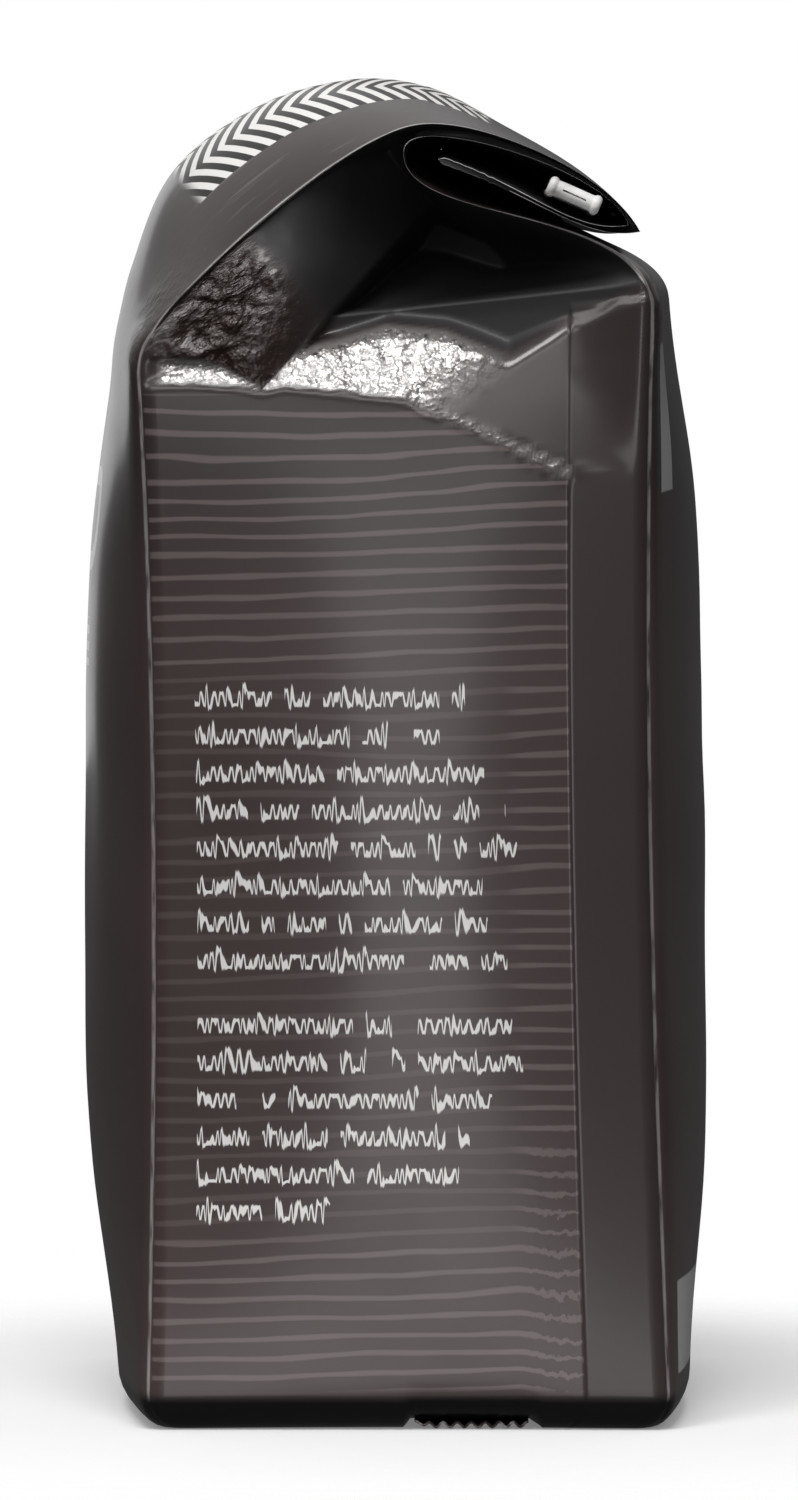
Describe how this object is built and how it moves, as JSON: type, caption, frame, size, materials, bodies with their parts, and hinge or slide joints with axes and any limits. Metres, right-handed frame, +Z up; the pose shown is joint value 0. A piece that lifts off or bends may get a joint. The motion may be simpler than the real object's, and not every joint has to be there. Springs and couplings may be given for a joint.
{
  "type": "coffee bag",
  "caption": "Full side-gusset coffee bag of foil laminate, standing, its top folded over and down to a pressed seal, with a white tin tie in the fold.",
  "frame": {"origin": "middle of the foot, on the surface that the bag stands on", "axes": "+Z up from the foot to the folded top; +X towards the back panel, over which the top is folded; the printed front panel faces -X; the side gussets face -Y and +Y"},
  "size_m": [0.0952, 0.098, 0.2025],
  "materials": {
    "laminate": "dark brown-grey printed foil laminate, satin, with wrinkled silvery folds",
    "tie": "white coated strip"
  },
  "bodies": {
    "root": {"bag": "laminate", "tin_tie": "tie"}
  },
  "joints": []
}
